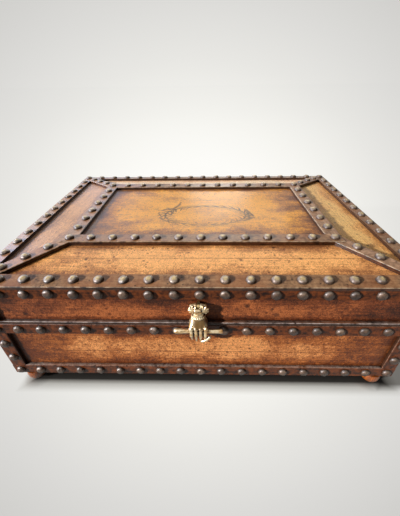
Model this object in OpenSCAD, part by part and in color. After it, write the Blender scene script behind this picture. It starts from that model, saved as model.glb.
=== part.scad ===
// Studded wooden treasure chest: a low box with a hip-roofed lid, raised battens set with
// round-headed nails, two butt hinges at the back and a hand-shaped clasp at the front.
// X runs along the front, -Y is the front, Z is up. The box stands on four turned feet.

/* [Case] */
// Width over the side battens
case_w = 475; // [420:1:560]
// Depth over the front and back battens
case_d = 343; // [300:1:400]
// Height of the lower box, without its feet
base_h = 90.5; // [80:0.5:130]
// Gap between the closed lid and the lower box
seam = 0.5; // [0.3:0.1:1]
// Height of the lid's upright rim, up to the edge of its top battens
rim_h = 54; // [50:0.5:80]
// Distance from the rim to the middle of the frame round the top panel
slope_run = 79; // [68:1:100]
// How far the lid's slopes rise over that distance
slope_rise = 9.6; // [5:0.2:20]

/* [Boards] */
// Thickness of the lower box's walls
wall_t = 12; // [9:0.5:16]
// Thickness of the lid's upright walls
lid_wall_t = 10; // [8:0.5:14]
// Thickness of the bottom board
bottom_t = 8; // [5:0.5:12]
// Thickness of the lid's sloping boards and top panel
roof_t = 8; // [5:0.5:12]

/* [Battens] */
// Width of the corner, hip and top edge battens
strip_w = 17; // [15:0.5:20]
// How far a batten stands proud of the boards
strip_t = 4; // [2.5:0.25:5]
// Radius of a batten's outer edges
strip_r = 1; // [0.5:0.1:1.2]
// Width of the battens round the top panel
frame_w = 18; // [15:0.5:22]
// Height of the batten below the seam
base_top_h = 15.5; // [14:0.5:18]
// Height of the batten at the foot of the lower box
base_foot_h = 16; // [14:0.5:20]
// Height of the upright batten below the lid's edge
band_h = 12.5; // [12:0.5:16]
// Height of the bead that closes the lid's lower edge
bead_h = 3.6; // [2.5:0.1:5]
// How far the lid's top edge battens lap over the upright band
lap = 0.6; // [0:0.1:1]

/* [Nails] */
// Diameter of a nail's head
nail_d = 11; // [8:0.5:12]
// Height of a nail's head
nail_h = 4; // [2.5:0.25:4.5]
// Wished distance from nail to nail
nail_pitch = 25.4; // [18:0.2:32]
// Distance of the corner nails from the edge
nail_inset = 8.9; // [7.5:0.1:9.5]

/* [Feet] */
// Height of a foot
foot_h = 18; // [8:0.5:30]
// Largest diameter of a foot
foot_d = 23; // [18:0.5:30]
// Diameter of the face that a foot stands on
foot_tip_d = 8; // [6:0.5:16]
// Distance of a foot's middle from the side of the box
foot_in_x = 19.5; // [16:0.5:60]
// Distance of a foot's middle from the front or back of the box
foot_in_y = 9; // [8:0.5:60]

/* [Hinges] */
// Length of a hinge along the seam
hinge_len = 50; // [30:1:70]
// Distance of each hinge's middle from the middle of the box
hinge_x = 139.7; // [80:0.1:170]
// Thickness of a hinge leaf
leaf_t = 1.4; // [1:0.1:2]
// How far a leaf reaches into the wall from the back face
leaf_in = 13; // [8:0.5:15]
// Outer diameter of a hinge's barrel
barrel_d = 5.6; // [5:0.1:6]
// Diameter of a hinge's pin
hinge_pin_d = 2.6; // [2:0.1:3]
// Gap between neighbouring knuckles, and between the barrel and the box
hinge_gap = 0.3; // [0.2:0.05:0.5]

/* [Clasp] */
// Sideways place of the clasp
clasp_x = -1.6; // [-4:0.1:4]
// Height of the closure pin above the top of the lower box
lock_up = 0.5; // [-1:0.1:2]
// How far the closure pin's middle stands in front of the battens
lock_out = 8; // [7.5:0.1:9]
// Diameter of the closure pin
lock_d = 5; // [4:0.1:5.5]
// Length of the closure pin
lock_len = 52; // [44:0.5:60]
// Length of the closure pin's thicker head
head_len = 10; // [5:0.5:12]
// Diameter of the closure pin's head
head_d = 5.8; // [5.6:0.1:7]
// Height of the clasp's hinge above the closure pin
reach = 29; // [28:0.5:32]
// How far the clasp's hinge stands in front of the battens
pivot_out = 1; // [0.5:0.1:2]
// Diameter of the clasp's hinge pin
clasp_pin_d = 2.4; // [2:0.1:3]
// Outer diameter of the clasp's knuckles
knuckle_d = 7.2; // [6.4:0.1:7.4]
// Width of the plate's knuckle
knuckle_w = 3; // [2:0.1:4]
// Width of the hand across its fingers
hand_w = 20.2; // [18:0.1:24]
// Width of the wrist
wrist_w = 14.6; // [12:0.1:17]
// Width of the cuff
cuff_w = 20.6; // [18:0.1:24]
// Diameter of a finger
finger_d = 4.7; // [4:0.1:4.8]
// Thickness of the clasp's plate and of the keeper's plate
plate_t = 1; // [0.8:0.1:1.2]
// Width of the keeper's stud
stud_w = 5; // [3:0.1:6]

/* [Fits] */
// Radial clearance of a pin in its bore
run_c = 0.05; // [0.02:0.01:0.1]
// Clearance round the hinge leaves in their recesses
leaf_c = 0.15; // [0.1:0.05:0.3]
// Clearance between the keeper and the clasp
keep_c = 0.4; // [0.3:0.05:0.8]

/* [Hidden] */
$fn = 48;
wood = "#a5652a";
dark = "#5b3419";
nail_c = "#8a7c68";
brass = "#c9a227";
old_brass = "#8f7a3c";

roof_a = atan(slope_rise / slope_run);
roof_z0 = base_h + seam + rim_h - strip_t;      // roof surface at the rim, under the battens
roof_top = roof_z0 + slope_rise;
lid_z = base_h + seam;
hip_m = tan(roof_a) / sqrt(2);
hip_a = atan(hip_m);
hip_fall = hip_m * cos(hip_a);
band_z = roof_z0 - band_h;
bead_z = lid_z + bead_h;
nail_rs = (nail_d * nail_d / 4 + nail_h * nail_h) / (2 * nail_h);

pivot_y = case_d / 2 + hinge_gap + barrel_d / 2;  // hinge line of the lid
pivot_z = base_h + seam / 2;
lock_z = base_h + lock_up;
clasp_z = lock_z + reach;
finger_p = (hand_w - finger_d) / 3;
finger_out = 3;                                  // middle joints in front of the closure pin
joint = 1.06;                                    // a finger's joint over its thickness
hand_front = lock_out + finger_out + finger_d * joint / 2;
// moves the case's middle so that the whole object is centred between clasp and hinges
shift_y = (hand_front - (pivot_y + barrel_d / 2 - case_d / 2)) / 2;

function half_len(i) = (i % 2 == 0 ? case_w : case_d) / 2;
function half_off(i) = (i % 2 == 0 ? case_d : case_w) / 2;
function roof_z(inset) = roof_z0 + tan(roof_a) * inset;
function steps(run) = max(1, round(run / nail_pitch));
function row(n, run) = [for (k = [0:n]) -run / 2 + run * k / n];

// Places the case frame (middle of the box, underside of its boards) in the part's frame.
module placed() { translate([0, shift_y, foot_h]) children(); }

// Side i of the box: 0 front, 1 right, 2 back, 3 left. Local y runs inwards from the face.
module side(i) { rotate([0, 0, 90 * i]) translate([0, -half_off(i), 0]) children(); }

// Plan of a mitred piece of side i between two distances in from the face.
module mitred(i, a, b) {
    l = half_len(i);
    intersection() {
        children();
        translate([0, 0, -1]) linear_extrude(roof_top + 2 * strip_t + 2)
            polygon([[a - 1 - l, a - 1], [l - a + 1, a - 1], [l - b - 1, b + 1], [b + 1 - l, b + 1]]);
    }
}

// Extrudes a (y, z) outline along the whole of side i.
module along(i, extra = 0) {
    l = half_len(i) + extra;
    translate([-l, 0, 0]) rotate([90, 0, 90]) linear_extrude(2 * l) children();
}

// Section of a batten that lies on y = 0, with its two outer edges rounded.
module strip_section(w, t) {
    translate([0, 0]) square([w, t - strip_r]);
    translate([strip_r, 0]) square([w - 2 * strip_r, t]);
    for (x = [strip_r, w - strip_r]) translate([x, t - strip_r]) circle(strip_r);
}

// Upright batten on side i, between two heights.
module upright_strip(i, z0, h)
    side(i) mitred(i, 0, strip_t) along(i)
        translate([strip_t, z0]) rotate(90) strip_section(h, strip_t);

module base_wall(i) color(wood) placed() difference() {
    long = i % 2 == 0;
    l = half_len(i) - strip_t - (long ? 0 : wall_t);
    side(i) translate([-l, strip_t, 0]) cube([2 * l, wall_t, base_h]);
    if (i == 2) leaf_recess(base_h - leaf_t - leaf_c, leaf_t + leaf_c + 1);
}

module base_bottom() color(wood) placed()
    translate([strip_t + wall_t - case_w / 2, strip_t + wall_t - case_d / 2, 0])
        cube([case_w - 2 * (strip_t + wall_t), case_d - 2 * (strip_t + wall_t), bottom_t]);

module base_top_strip(i) color(dark) placed() difference() {
    upright_strip(i, base_h - base_top_h, base_top_h);
    if (i == 2) leaf_recess(base_h - leaf_t - leaf_c, leaf_t + leaf_c + 1);
}

module base_foot_strip(i) color(dark) placed() upright_strip(i, 0, base_foot_h);

// Angle battens round the four upright corners.
module corner_strips(z0, z1) for (i = [0:3])
    side(i) translate([half_len(i), 0, z0]) mirror([1, 0, 0]) linear_extrude(z1 - z0)
        for (k = [0, 1]) mirror([k, -k, 0]) translate([0, strip_t]) mirror([0, 1, 0])
            strip_section(strip_w, strip_t);

module base_corner_strips() color(dark) placed()
    corner_strips(base_foot_h, base_h - base_top_h);

module foot(sx, sy) color("#9c4f1c") placed()
    translate([sx * (case_w / 2 - foot_in_x), sy * (case_d / 2 - foot_in_y), -foot_h])
        rotate_extrude() intersection() {
            square([foot_d / 2, foot_h]);
            union() {
                r = min(foot_h * 0.62, foot_d / 2 - 0.5);
                square([foot_tip_d / 2, foot_h]);
                translate([foot_d / 2 - r, foot_h * 0.7]) circle(r);
                translate([0, foot_h * 0.7 - r]) square([foot_d / 2 - r, r + foot_h * 0.3]);
                translate([0, foot_h * 0.86]) square([foot_d / 2 - 1, foot_h * 0.14]);
            }
        }

// Domed nail head on z = 0.
module nail() rotate_extrude() intersection() {
    translate([0, nail_h - nail_rs]) circle(nail_rs);
    square([nail_d / 2, nail_h]);
}

// Nails on the upright face of side i at one height, leaving out those near the given places.
module face_row(i, z, xs, skip = []) side(i) for (x = xs)
    if (len([for (s = skip) if (abs(x - s) < nail_d / 2 + 4.5) s]) == 0)
        translate([x, 0, z]) rotate([90, 0, 0]) nail();

function side_row(i) = let (run = 2 * (half_len(i) - nail_inset)) row(steps(run), run);

module base_nails() color(nail_c) placed() {
    top_z = base_h - base_top_h / 2;
    foot_z = base_foot_h / 2;
    n = steps(top_z - foot_z);
    for (i = [0:3]) {
        face_row(i, top_z, side_row(i), i == 0 ? [clasp_x] : []);
        face_row(i, foot_z, side_row(i));
        for (k = [1:1:n - 1]) face_row(i, foot_z + (top_z - foot_z) * k / n,
            [nail_inset - half_len(i), half_len(i) - nail_inset]);
    }
}

module lid_wall(i) color(wood) placed() difference() {
    long = i % 2 == 0;
    l = half_len(i) - strip_t - (long ? 0 : lid_wall_t);
    drop = roof_t / cos(roof_a);
    side(i) intersection() {
        translate([-l, strip_t, lid_z]) cube([2 * l, lid_wall_t, rim_h]);
        along(i) polygon([[0, lid_z - 1], [0, roof_z(0) - drop],
            [strip_t + lid_wall_t + 1, roof_z(strip_t + lid_wall_t + 1) - drop],
            [strip_t + lid_wall_t + 1, lid_z - 1]]);
        if (long) mitred_roof(i);
        if (!long) translate([-l - 1, 0, 0]) cube([2 * l + 2, 100, roof_top]);
    }
    if (i == 2) leaf_recess(lid_z - 1, leaf_t + leaf_c + 1);
}

// Keeps a long wall's ends below the slopes of the short sides.
module mitred_roof(i) {
    l = half_len(i);
    drop = roof_t / cos(roof_a);
    rotate([90, 0, 0]) translate([0, 0, -strip_t - lid_wall_t - 1])
        linear_extrude(strip_t + lid_wall_t + 2) polygon([
            [-l, lid_z - 1], [-l, roof_z(0) - drop], [slope_run - l, roof_top - drop],
            [l - slope_run, roof_top - drop], [l, roof_z(0) - drop], [l, lid_z - 1]]);
}

module lid_slope(i) color(wood) placed() {
    drop = roof_t / cos(roof_a);
    side(i) mitred(i, strip_t, slope_run) along(i) polygon([
        [strip_t, roof_z(strip_t)], [slope_run, roof_top],
        [slope_run, roof_top - drop], [strip_t, roof_z(strip_t) - drop]]);
}

module lid_top_panel() color("#b8742f") placed()
    translate([slope_run - case_w / 2, slope_run - case_d / 2, roof_top - roof_t])
        cube([case_w - 2 * slope_run, case_d - 2 * slope_run, roof_t]);

module lid_edge_strip(i) color(dark) placed() side(i) mitred(i, -lap, strip_w) along(i, lap)
    intersection() {
        translate([-lap, roof_z(-lap)]) rotate(roof_a) strip_section(2 * strip_w, strip_t);
        translate([-lap - 1, 0]) square([strip_w + lap + 1, 2 * roof_top]);
    }

module lid_band(i) color(dark) placed()
    side(i) mitred(i, 0, strip_t) along(i) polygon([
        [0, band_z], [0, roof_z(0)], [strip_t, roof_z(strip_t)], [strip_t, band_z]]);

module lid_bead(i) color(dark) placed() difference() {
    upright_strip(i, lid_z, bead_h);
    if (i == 2) leaf_recess(lid_z - 1, leaf_t + leaf_c + 1);
}

module lid_corner_strips() color(dark) placed() corner_strips(bead_z, band_z);

// Flat-topped batten over the hip between side i and the next one.
module lid_hip(i) color(dark) placed() intersection() {
    side(i) translate([half_len(i), 0, roof_z0]) rotate([0, 0, 135]) rotate([0, -hip_a, 0])
        rotate([90, 0, 90]) linear_extrude(1.5 * slope_run) difference() {
            translate([-strip_w / 2, -2]) strip_section(strip_w, strip_t + 2);
            polygon([[-strip_w, -5], [-strip_w, -hip_fall * strip_w], [0, 0],
                [strip_w, -hip_fall * strip_w], [strip_w, -5]]);
        }
    linear_extrude(roof_top + 4 * strip_t) difference() {
        square([case_w - 2 * strip_w, case_d - 2 * strip_w], center = true);
        square([case_w - 2 * slope_run + frame_w, case_d - 2 * slope_run + frame_w], center = true);
    }
}

// Flat batten that laps the top panel and the upper ends of the slopes.
module lid_frame_strip(i) color(dark) placed() {
    a = slope_run - frame_w / 2;
    b = slope_run + frame_w / 2;
    side(i) mitred(i, a, b) along(i) difference() {
        translate([a, roof_top - 4]) strip_section(frame_w, strip_t + 4);
        polygon([[a - 1, 0], [a - 1, roof_z(a - 1)], [slope_run, roof_top],
            [b + 1, roof_top], [b + 1, 0]]);
    }
}

module lid_nails() color(nail_c) placed() {
    in_a = nail_inset;
    hip_run = slope_run - nail_inset;
    n = steps(hip_run * sqrt(2));
    for (i = [0:3]) {
        run = 2 * (half_len(i) - nail_inset);
        inner = 2 * (half_len(i) - slope_run);
        face_row(i, band_z + band_h / 2 + 0.3, side_row(i));
        face_row(i, (bead_z + band_z) / 2, [nail_inset - half_len(i), half_len(i) - nail_inset]);
        side(i) {
            for (k = [(i % 2):1:steps(run) - (i % 2)])
                translate([-run / 2 + run * k / steps(run), in_a, roof_z(in_a) + strip_t / cos(roof_a)])
                    rotate([roof_a, 0, 0]) nail();
            for (k = [0:1:steps(inner) - 1])
                translate([-inner / 2 + inner * k / steps(inner), slope_run, roof_top + strip_t])
                    nail();
            translate([half_len(i), 0, roof_z0]) rotate([0, 0, 135]) rotate([0, -hip_a, 0])
                for (k = [1:1:n - 1])
                    translate([(in_a + hip_run * k / n) * sqrt(2) / cos(hip_a), 0, strip_t]) nail();
        }
    }
}

// Room for the hinge leaves in the back wall and its battens.
module leaf_recess(z, h) for (s = [-1, 1])
    translate([s * hinge_x - hinge_len / 2 - leaf_c, case_d / 2 - leaf_in - leaf_c, z])
        cube([hinge_len + 2 * leaf_c, leaf_in + leaf_c + 5, h]);

// Knuckles of one leaf: the first and every second one after it, five in all.
module knuckles(first) {
    w = (hinge_len - 4 * hinge_gap) / 5;
    for (k = [first:2:4]) translate([k * (w + hinge_gap) - hinge_len / 2, 0, 0]) children();
}

module leaf(first, z, up) for (s = [-1, 1]) translate([s * hinge_x, 0, 0]) {
    w = (hinge_len - 4 * hinge_gap) / 5;
    translate([-hinge_len / 2, case_d / 2 - leaf_in, z]) cube([hinge_len, leaf_in, leaf_t]);
    difference() {
        knuckles(first) union() {
            translate([0, pivot_y, pivot_z]) rotate([0, 90, 0]) cylinder(d = barrel_d, h = w);
            translate([0, case_d / 2 - 1, z])
                cube([w, 1 + pivot_y - case_d / 2, leaf_t]);
        }
        translate([-hinge_len / 2 - 1, pivot_y, pivot_z]) rotate([0, 90, 0])
            cylinder(d = hinge_pin_d + 2 * run_c, h = hinge_len + 2);
    }
}

module hinge_base_leaves() color(old_brass) placed() leaf(0, base_h - leaf_t);
module hinge_lid_leaves() color(old_brass) placed() leaf(1, lid_z);

module hinge_pins() color(old_brass) placed() for (s = [-1, 1])
    translate([s * hinge_x - hinge_len / 2, pivot_y, pivot_z]) rotate([0, 90, 0])
        cylinder(d = hinge_pin_d, h = hinge_len);

// Clasp frame: x across, -y out of the front battens, z from the underside of the box.
module clasp_at() placed() translate([clasp_x, -case_d / 2, 0]) children();

module clasp_plate() color(brass) clasp_at() difference() {
    union() {
        translate([0, strip_t, clasp_z - 4]) rotate([90, 0, 0]) linear_extrude(plate_t)
            intersection() {
                circle(9);
                translate([-cuff_w / 2 + 2, -8]) square([cuff_w - 4, 8 + knuckle_d / 2]);
            }
        translate([-knuckle_w / 2, -pivot_out, clasp_z]) rotate([0, 90, 0])
            cylinder(d = knuckle_d, h = knuckle_w);
        translate([-knuckle_w / 2, -pivot_out, clasp_z - knuckle_d / 2])
            cube([knuckle_w, strip_t + pivot_out, knuckle_d]);
    }
    translate([-cuff_w, -pivot_out, clasp_z]) rotate([0, 90, 0])
        cylinder(d = clasp_pin_d + 2 * run_c, h = 2 * cuff_w);
}

module clasp_hinge_pin() color(brass) clasp_at()
    translate([-cuff_w / 2 + 1.5, -pivot_out, clasp_z]) rotate([0, 90, 0])
        cylinder(d = clasp_pin_d, h = cuff_w - 3);

// Cylinder between two points.
module rod(a, b, d) {
    v = b - a;
    translate(a) rotate([0, acos(v.z / norm(v)), atan2(v.y, v.x)]) cylinder(d = d, h = norm(v));
}

// Point of the hand measured from the closure pin's middle: across, outwards, upwards.
function hp(x, out, up) = [x, -lock_out - out, lock_z + up];

module clasp_hand() color(brass) clasp_at() difference() {
    union() {
        back_of_hand();
        palm();
        for (k = [0:3]) finger(k);
        thumb();
        cuff();
    }
    // bores of the two pins
    translate([-hand_w, -lock_out, lock_z]) rotate([0, 90, 0])
        cylinder(d = lock_d + 2 * run_c, h = 2 * hand_w);
    translate([-hand_w, -pivot_out, clasp_z]) rotate([0, 90, 0])
        cylinder(d = clasp_pin_d + 2 * run_c, h = 2 * hand_w);
    // room for the plate's knuckle
    translate([-knuckle_w / 2 - 0.3, -20, clasp_z - knuckle_d / 2 - 0.6])
        cube([knuckle_w + 0.6, 20 + strip_t, knuckle_d + 5]);
    // slot for the keeper's stud, open behind and below
    translate([-stud_w / 2 - keep_c, -lock_out - 0.5, lock_z - 40])
        cube([stud_w + 2 * keep_c, lock_out + 5, 40 + lock_d / 2 + 0.2]);
    // flat back, stepped over the bead and the battens
    translate([-30, strip_t - plate_t - keep_c, 0]) cube([60, 30, clasp_z + 20]);
    translate([-30, -plate_t - keep_c, 0]) cube([60, 30, bead_z + 2]);
}

// The back of the hand, from the wrist to the knuckles.
module back_of_hand() hull() {
    for (s = [-1, 1]) translate([s * (wrist_w - 9) / 2, -3.4, clasp_z - 13]) sphere(d = 9, $fn = 20);
    for (x = [-1.5:1:1.5]) translate(hp(x * finger_p, 1.5, 7.2)) sphere(d = finger_d + 0.9, $fn = 20);
    for (s = [-1, 1]) translate([s * (hand_w / 2 - 2.5), 0, bead_z + 4]) sphere(d = 5, $fn = 20);
}

// The palm behind the fingers.
module palm() hull() for (x = [-1, 1], p = [[-4, 6], [0.4, 5], [0.2, -8], [-4, -11]])
    translate(hp(x * (hand_w / 2 - 2.8), p[0], p[1])) sphere(d = 5, $fn = 16);

// Finger k, from the little finger: over the closure pin and down to its tip.
module finger(k) {
    x = (k - 1.5) * finger_p;
    short = [3.4, 1, 0, 1.4][k];
    a = hp(x, 1.2, 5.6);
    b = hp(x, finger_out, -4.4 + short / 4);
    c = hp(x, 0, -14.4 + short);
    rod(a, b, finger_d);
    rod(b, c, finger_d - 0.2);
    translate(b) sphere(d = finger_d * joint);
    translate(c) sphere(d = finger_d * joint);
}

module thumb() {
    a = hp(hand_w / 2 - 6, 0.4, -13.8);
    b = hp(hand_w / 2 + 1.9, 1.2, -7.4);
    rod(a, b, finger_d - 1);
    translate(a) sphere(d = finger_d - 0.3);
    translate(b) sphere(d = finger_d - 0.6);
}

// Ruffled cuff: two lobes of the hinge and a ring round the wrist.
module cuff() {
    w = (cuff_w - knuckle_w) / 2 - 0.3;
    for (s = [-1, 1]) {
        translate([s * (knuckle_w / 2 + 0.3 + w / 2) - w / 2, -pivot_out, clasp_z])
            rotate([0, 90, 0]) cylinder(d = knuckle_d, h = w);
        translate([s * (cuff_w / 2 - 4.9), -1.4, clasp_z - 4.6]) sphere(d = 9.8);
    }
    translate([0, -3.2, clasp_z - 9.6]) rotate_extrude() translate([wrist_w / 2 - 2, 0]) circle(1.9);
    translate([0, -3.2, clasp_z - 12]) cylinder(d = wrist_w - 2, h = 8);
}

module closure_pin() color(brass) clasp_at()
    translate([-lock_len / 2 - 0.3, -lock_out, lock_z]) rotate([0, 90, 0]) {
        rotate_extrude() {
            square([lock_d / 2, lock_len]);
            translate([0, head_d / 2]) square([head_d / 2, head_len - head_d / 2]);
            intersection() {
                translate([0, head_d / 2]) circle(head_d / 2);
                square([head_d, head_len]);
            }
        }
    }

// Plate on the lower box with a stud that the closure pin rests in.
module keeper() color(brass) clasp_at() difference() {
    union() {
        translate([0, 0, base_h - base_top_h / 2]) rotate([90, 0, 0])
            linear_extrude(plate_t) square([14, base_top_h - 2], center = true);
        translate([-stud_w / 2, -lock_out - 0.1, lock_z - lock_d / 2 - 5])
            cube([stud_w, lock_out + 0.1, 5 + lock_d / 2 + 0.5]);
    }
    translate([-stud_w, -lock_out, lock_z]) rotate([0, 90, 0])
        cylinder(d = lock_d + 2 * keep_c, h = 2 * stud_w);
}

base_wall(0);  // base_front_wall
base_wall(1);  // base_right_wall
base_wall(2);  // base_back_wall
base_wall(3);  // base_left_wall
base_bottom();
base_top_strip(0);  // base_front_top_strip
base_top_strip(1);  // base_right_top_strip
base_top_strip(2);  // base_back_top_strip
base_top_strip(3);  // base_left_top_strip
base_foot_strip(0);  // base_front_foot_strip
base_foot_strip(1);  // base_right_foot_strip
base_foot_strip(2);  // base_back_foot_strip
base_foot_strip(3);  // base_left_foot_strip
base_corner_strips();
foot(1, -1);  // foot_front_right
foot(1, 1);  // foot_back_right
foot(-1, 1);  // foot_back_left
foot(-1, -1);  // foot_front_left
base_nails();
lid_wall(0);  // lid_front_wall
lid_wall(1);  // lid_right_wall
lid_wall(2);  // lid_back_wall
lid_wall(3);  // lid_left_wall
lid_slope(0);  // lid_front_slope
lid_slope(1);  // lid_right_slope
lid_slope(2);  // lid_back_slope
lid_slope(3);  // lid_left_slope
lid_top_panel();
lid_edge_strip(0);  // lid_front_edge_strip
lid_edge_strip(1);  // lid_right_edge_strip
lid_edge_strip(2);  // lid_back_edge_strip
lid_edge_strip(3);  // lid_left_edge_strip
lid_band(0);  // lid_front_band
lid_band(1);  // lid_right_band
lid_band(2);  // lid_back_band
lid_band(3);  // lid_left_band
lid_bead(0);  // lid_front_bead
lid_bead(1);  // lid_right_bead
lid_bead(2);  // lid_back_bead
lid_bead(3);  // lid_left_bead
lid_corner_strips();
lid_hip(0);  // lid_front_right_hip
lid_hip(1);  // lid_back_right_hip
lid_hip(2);  // lid_back_left_hip
lid_hip(3);  // lid_front_left_hip
lid_frame_strip(0);  // lid_front_frame_strip
lid_frame_strip(1);  // lid_right_frame_strip
lid_frame_strip(2);  // lid_back_frame_strip
lid_frame_strip(3);  // lid_left_frame_strip
lid_nails();
hinge_base_leaves();
hinge_lid_leaves();
hinge_pins();
clasp_plate();
clasp_hinge_pin();
clasp_hand();
closure_pin();
keeper();
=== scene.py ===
# %% [markdown]
# # A studded treasure chest
# The chest is a low wooden box with a hip-roofed lid. Its boards are veneered and shaded like an old
# instrument, darker battens cover every joint, and a row of domed nails runs along each batten. A cast
# hand hangs from the lid, grips a round pin and so locks the lid to the box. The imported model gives
# every board and batten its exact shape. This script gives them their finish, and makes what a lathe
# or a saw can't: the hammered nails, the worn paint and the cast hand.

# %% Load the fixed frame
import math
import random
from functools import partial

import bpy
import bmesh
from mathutils import Matrix, Vector, noise


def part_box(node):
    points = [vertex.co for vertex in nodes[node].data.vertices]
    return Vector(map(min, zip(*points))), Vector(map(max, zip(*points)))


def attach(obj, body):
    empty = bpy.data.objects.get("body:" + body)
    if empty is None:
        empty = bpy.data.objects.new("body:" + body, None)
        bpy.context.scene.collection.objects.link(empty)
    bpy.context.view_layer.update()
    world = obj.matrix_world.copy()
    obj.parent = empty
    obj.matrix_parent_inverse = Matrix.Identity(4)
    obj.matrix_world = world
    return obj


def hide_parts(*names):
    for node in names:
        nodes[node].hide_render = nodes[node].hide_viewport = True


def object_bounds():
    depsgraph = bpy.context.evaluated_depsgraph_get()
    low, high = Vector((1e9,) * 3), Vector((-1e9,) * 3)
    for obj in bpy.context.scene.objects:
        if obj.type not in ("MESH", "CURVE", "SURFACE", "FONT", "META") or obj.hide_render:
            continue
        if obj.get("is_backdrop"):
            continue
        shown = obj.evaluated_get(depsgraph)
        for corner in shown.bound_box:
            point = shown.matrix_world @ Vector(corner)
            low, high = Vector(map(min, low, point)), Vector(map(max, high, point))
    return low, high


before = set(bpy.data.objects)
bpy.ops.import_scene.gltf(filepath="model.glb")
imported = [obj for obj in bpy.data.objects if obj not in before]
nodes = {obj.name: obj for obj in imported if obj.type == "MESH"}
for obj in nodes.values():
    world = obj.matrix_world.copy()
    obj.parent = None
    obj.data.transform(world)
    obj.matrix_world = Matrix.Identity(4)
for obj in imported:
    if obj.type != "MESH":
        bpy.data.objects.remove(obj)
cad_low, cad_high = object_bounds()
print("pieces from the frame:", len(nodes), "size", [round(v, 4) for v in cad_high - cad_low])

# %% [markdown]
# ## Small tools
# A colour picked from a photograph is an sRGB value, and shaders count in linear light, so one function
# turns one into the other. A second one adds a shader node with its settings and links in one line:
# "Math MULTIPLY" is a Math node that multiplies, a noise takes its place, scale, detail and roughness in
# this order, and a map range takes its value, the two ends it comes from and the two it goes to. Every
# new material brings this function along as `add`, tied to its own nodes. Another puts a mesh into the
# scene.

# %% Colours, shader nodes and meshes
MM = 0.001


def colour(hex_code):
    parts = [int(hex_code[i:i + 2], 16) / 255 for i in (1, 3, 5)]
    return [p / 12.92 if p <= 0.04045 else ((p + 0.055) / 1.055) ** 2.4 for p in parts] + [1.0]


def add_node(tree, kind, inputs=(), stops=(), **settings):
    """Adds one node. A second word in its kind is its operation or its data type. Inputs in a row fill
    its open sockets in order, and a dict names them: a node or a socket is linked, a value is set."""
    kind, _, mode = kind.partition(" ")
    node = tree.nodes.new("ShaderNode" + kind)
    if mode:
        settings["operation" if "Math" in kind else "data_type"] = mode
    for name, value in settings.items():
        setattr(node, name, value)
    if isinstance(inputs, dict):
        pairs = [(node.inputs[name], value) for name, value in inputs.items()]
    else:
        pairs = list(zip([socket for socket in node.inputs if socket.enabled], inputs))
    for socket, value in pairs:
        if isinstance(value, bpy.types.Node):
            value = next(output for output in value.outputs if output.enabled)
        if isinstance(value, bpy.types.NodeSocket):
            tree.links.new(value, socket)
        else:
            socket.default_value = colour(value) if isinstance(value, str) else value
    for i, (place, hex_code) in enumerate(stops):
        ramp = node.color_ramp.elements
        if i >= len(ramp):
            ramp.new(place)
        ramp[i].position = place
        ramp[i].color = colour(hex_code)
    return node


def new_material(name):
    """A material without nodes, and the function that adds nodes to it."""
    material = bpy.data.materials.new(name)
    material.use_nodes = True
    material.node_tree.nodes.clear()
    return material, partial(add_node, material.node_tree)


def new_piece(name, points, faces, material, smooth=False, **values):
    """A mesh in the scene. Each of the values is a list with one number for every point."""
    mesh = bpy.data.meshes.new(name)
    mesh.from_pydata(points, [], faces)
    for label, numbers in values.items():
        mesh.attributes.new(label, "FLOAT", "POINT").data.foreach_set("value", numbers)
    mesh.polygons.foreach_set("use_smooth", [smooth] * len(mesh.polygons))
    mesh.materials.append(material)
    piece = bpy.data.objects.new(name, mesh)
    bpy.context.scene.collection.objects.link(piece)
    return piece


# %% [markdown]
# ## Camera
# The photograph looks down at the front from close by with a wide lens, so the near edge of the lid is
# much longer than the far one. The place and turn of the camera were worked out from the corners of the
# lid and the nail rows, and are written here as plain angles.

# %% Set the camera
scene = bpy.context.scene
pitch, yaw, roll = math.radians(34.13), math.radians(-1.663), math.radians(-0.884)
forward = Vector((math.sin(yaw) * math.cos(pitch), math.cos(yaw) * math.cos(pitch), -math.sin(pitch)))
level = Vector((math.cos(yaw), -math.sin(yaw), 0))
upward = level.cross(forward)
right = math.cos(roll) * level + math.sin(roll) * upward
top = -math.sin(roll) * level + math.cos(roll) * upward
camera_data = bpy.data.cameras.new("camera")
camera_data.lens, camera_data.sensor_width = 18.841, 36
camera_data.clip_start, camera_data.clip_end = 0.01, 50
camera = bpy.data.objects.new("camera", camera_data)
scene.collection.objects.link(camera)
turn = Matrix((right, top, -forward)).transposed().to_4x4()
camera.matrix_world = Matrix.Translation((0.00679, -0.36888, 0.33337)) @ turn
scene.camera = camera
scene.view_settings.view_transform = "Standard"
print("camera", [round(v, 3) for v in camera.matrix_world.translation])

# %% [markdown]
# ## Light and floor
# The shadows of the nails fall to the right and a little down: one low lamp stands on the left, a little
# in front. A wide soft lamp behind the chest gives the grey sheen on the waxed top. What brass and wax
# mirror matters as much: cool windows on the left, a pale ceiling, two far windows behind the chest that
# leave a soft glare on the top, and a dark room behind the viewer. The camera itself sees only a pale
# wall. The floor is pale paper with painted light and shade. It is brightest in the middle of the picture
# and darker evenly towards the corners, as under a ring lamp round the lens, but no such lamp stands in
# the scene: this pool of light is painted, and its tone follows the angle to that lamp's middle ray. A
# painted shadow lies under the chest and to its right. The wall behind takes its tone from the same rule,
# and no line shows where the two meet.

# %% Lamps
def lamp(name, kind, energy, place, target, **settings):
    data = bpy.data.lights.new(name, kind)
    data.energy = energy
    for key, value in settings.items():
        setattr(data, key, value)
    made = bpy.data.objects.new(name, data)
    made.location = place
    made.rotation_euler = (Vector(target) - Vector(place)).to_track_quat("-Z", "Y").to_euler()
    scene.collection.objects.link(made)


lamp("low_key", "SUN", 5.8, (-2.3, -1.3, 0.95), (0, 0, 0), angle=math.radians(3.5))
lamp("back_sheen", "AREA", 15, (-0.25, 1.7, 1.5), (0, 0.05, 0.15), shape="RECTANGLE", size=2.2, size_y=1.0)


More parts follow.
